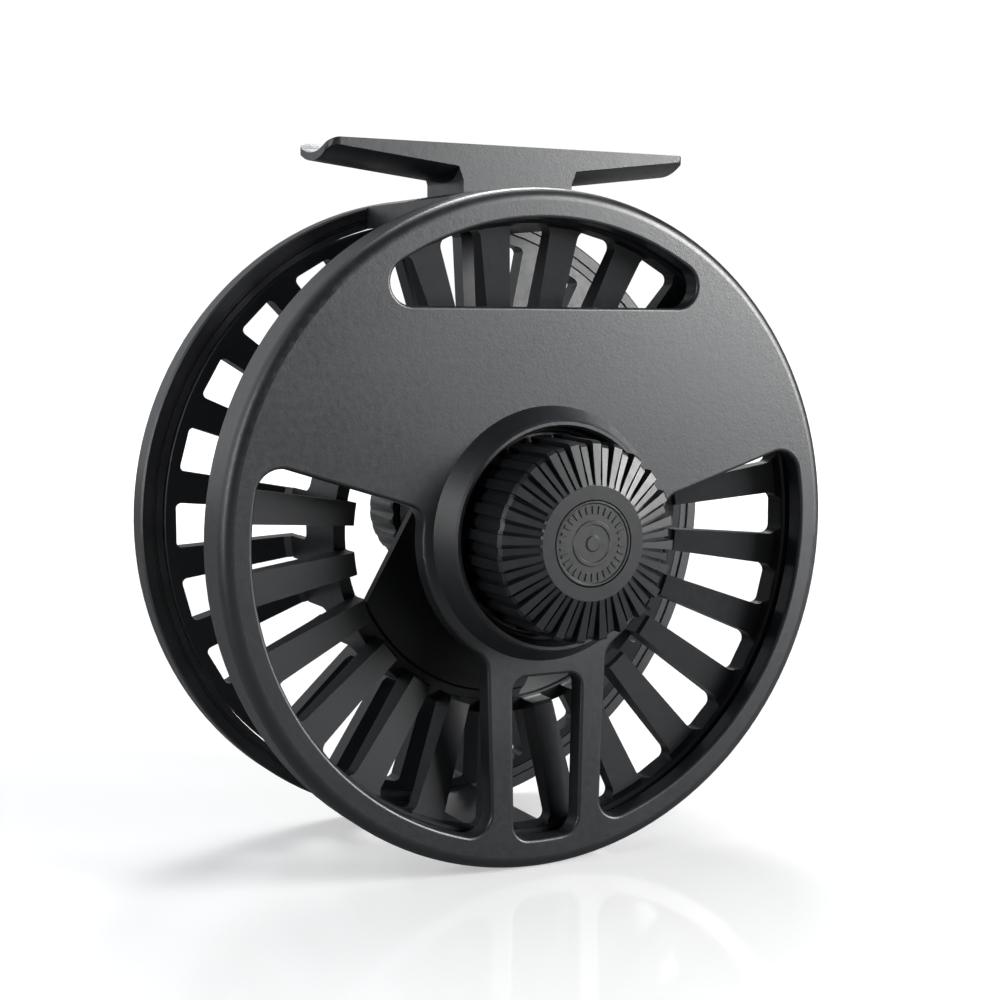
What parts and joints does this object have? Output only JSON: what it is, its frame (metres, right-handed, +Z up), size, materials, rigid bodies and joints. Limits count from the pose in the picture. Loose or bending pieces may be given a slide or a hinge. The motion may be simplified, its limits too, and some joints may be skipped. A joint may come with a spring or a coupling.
{
  "type": "fly reel",
  "caption": "Full-cage large-arbor fly reel with ported spool, recessed fluted drag knob, release cap, crank handle and saddle foot.",
  "frame": {"origin": "centre of the saddle on top of the reel foot, on its lowest line", "axes": "+Z up out of the foot towards the rod, X along the rod and the foot, Y along the spool axis with the drag knob towards -Y and the crank towards +Y"},
  "size_m": [0.1106, 0.0799, 0.1179],
  "materials": {
    "anodised_frame": "satin black anodised, fine bead-blast grain",
    "anodised_spool": "satin black anodised",
    "anodised_knob": "gloss black anodised, bright edges",
    "anodised_cap": "satin black anodised",
    "bare_aluminium": "turned, clear anodised",
    "black_steel": "black oxide",
    "bright_steel": "turned stainless",
    "bronze": "turned bearing bronze",
    "carbon_disc": "carbon fibre friction facing",
    "seal_rubber": "matte nitrile",
    "handle_polymer": "turned black acetal",
    "nylon_washer": "natural nylon"
  },
  "bodies": {
    "frame": {"frame": "anodised_frame", "reel_foot": "anodised_frame", "foot_screws": "black_steel", "drag_housing": "bare_aluminium", "drag_cover": "bare_aluminium", "cover_seal": "seal_rubber", "housing_screws": "bright_steel", "steel_disc_1": "bright_steel", "steel_disc_2": "bright_steel", "spindle": "bright_steel", "knob_screw": "bright_steel", "knob_seal": "seal_rubber", "detent_disc": "bright_steel"},
    "drag_knob": {"drag_knob": "anodised_knob", "knob_cap": "anodised_cap", "detent_ball": "bright_steel", "detent_spring": "bright_steel"},
    "drive_nut": {"drive_nut": "bronze"},
    "pressure": {"pressure_ring": "bright_steel", "pressure_pins": "bright_steel", "drag_springs": "bright_steel", "pressure_plate": "bright_steel"},
    "drag_rotor": {"drag_rotor": "bright_steel", "one_way_clutch": "bright_steel", "clutch_rollers": "bright_steel", "friction_disc_1": "carbon_disc", "friction_disc_2": "carbon_disc", "friction_disc_3": "carbon_disc"},
    "clutch_sleeve": {"clutch_sleeve": "bright_steel", "sleeve_bushing_rear": "bronze", "sleeve_bushing_front": "bronze"},
    "spool": {"spool": "anodised_spool", "spool_flange_near": "anodised_spool", "spool_flange_far": "anodised_spool", "drive_insert": "bronze", "front_bearing": "bright_steel", "bearing_circlip": "black_steel", "handle_post": "bright_steel", "handle_screw": "anodised_cap", "handle_washer_inner": "nylon_washer", "handle_washer_outer": "nylon_washer"},
    "release_cap": {"release_cap": "anodised_knob"},
    "latch_plate": {"latch_plate": "bright_steel"},
    "handle_knob": {"handle_knob": "handle_polymer"}
  },
  "joints": [
    {"name": "spool_spin", "type": "hinge", "parent": "frame", "child": "spool", "pos_m": [-0.0016, -0.0022, -0.0606], "axis": [0, 1, 0], "continuous": true},
    {"name": "drag_turn", "type": "hinge", "parent": "frame", "child": "drag_knob", "pos_m": [-0.0016, -0.0292, -0.0606], "axis": [0, -1, 0], "range_deg": [0, 300]},
    {"name": "nut_travel", "type": "slide", "parent": "drag_knob", "child": "drive_nut", "axis": [0, 1, 0], "range_m": [0, 0.0005]},
    {"name": "pressure_travel", "type": "slide", "parent": "frame", "child": "pressure", "axis": [0, 1, 0], "range_m": [0, 0.0005]},
    {"name": "rotor_spin", "type": "hinge", "parent": "frame", "child": "drag_rotor", "pos_m": [-0.0016, -0.0132, -0.0606], "axis": [0, 1, 0], "continuous": true},
    {"name": "sleeve_spin", "type": "hinge", "parent": "frame", "child": "clutch_sleeve", "pos_m": [-0.0016, -0.0092, -0.0606], "axis": [0, 1, 0], "continuous": true},
    {"name": "cap_turn", "type": "hinge", "parent": "spool", "child": "release_cap", "pos_m": [-0.0016, 0.0228, -0.0606], "axis": [0, 1, 0], "range_deg": [0, 60]},
    {"name": "latch_slide", "type": "slide", "parent": "spool", "child": "latch_plate", "axis": [-1, 0, 0], "range_m": [0, 0.00065]},
    {"name": "handle_spin", "type": "hinge", "parent": "spool", "child": "handle_knob", "pos_m": [0.03657, 0.0278, -0.04432], "axis": [0, 1, 0], "continuous": true}
  ],
  "couplings": [
    {"joint": "nut_travel", "follows": "drag_turn", "m_per_rad": 0.000095397},
    {"joint": "pressure_travel", "follows": "drag_turn", "m_per_rad": 0.000095397},
    {"joint": "rotor_spin", "follows": "spool_spin", "ratio": 1},
    {"joint": "sleeve_spin", "follows": "spool_spin", "ratio": 1},
    {"joint": "latch_slide", "follows": "cap_turn", "m_per_rad": 0.00062008}
  ]
}
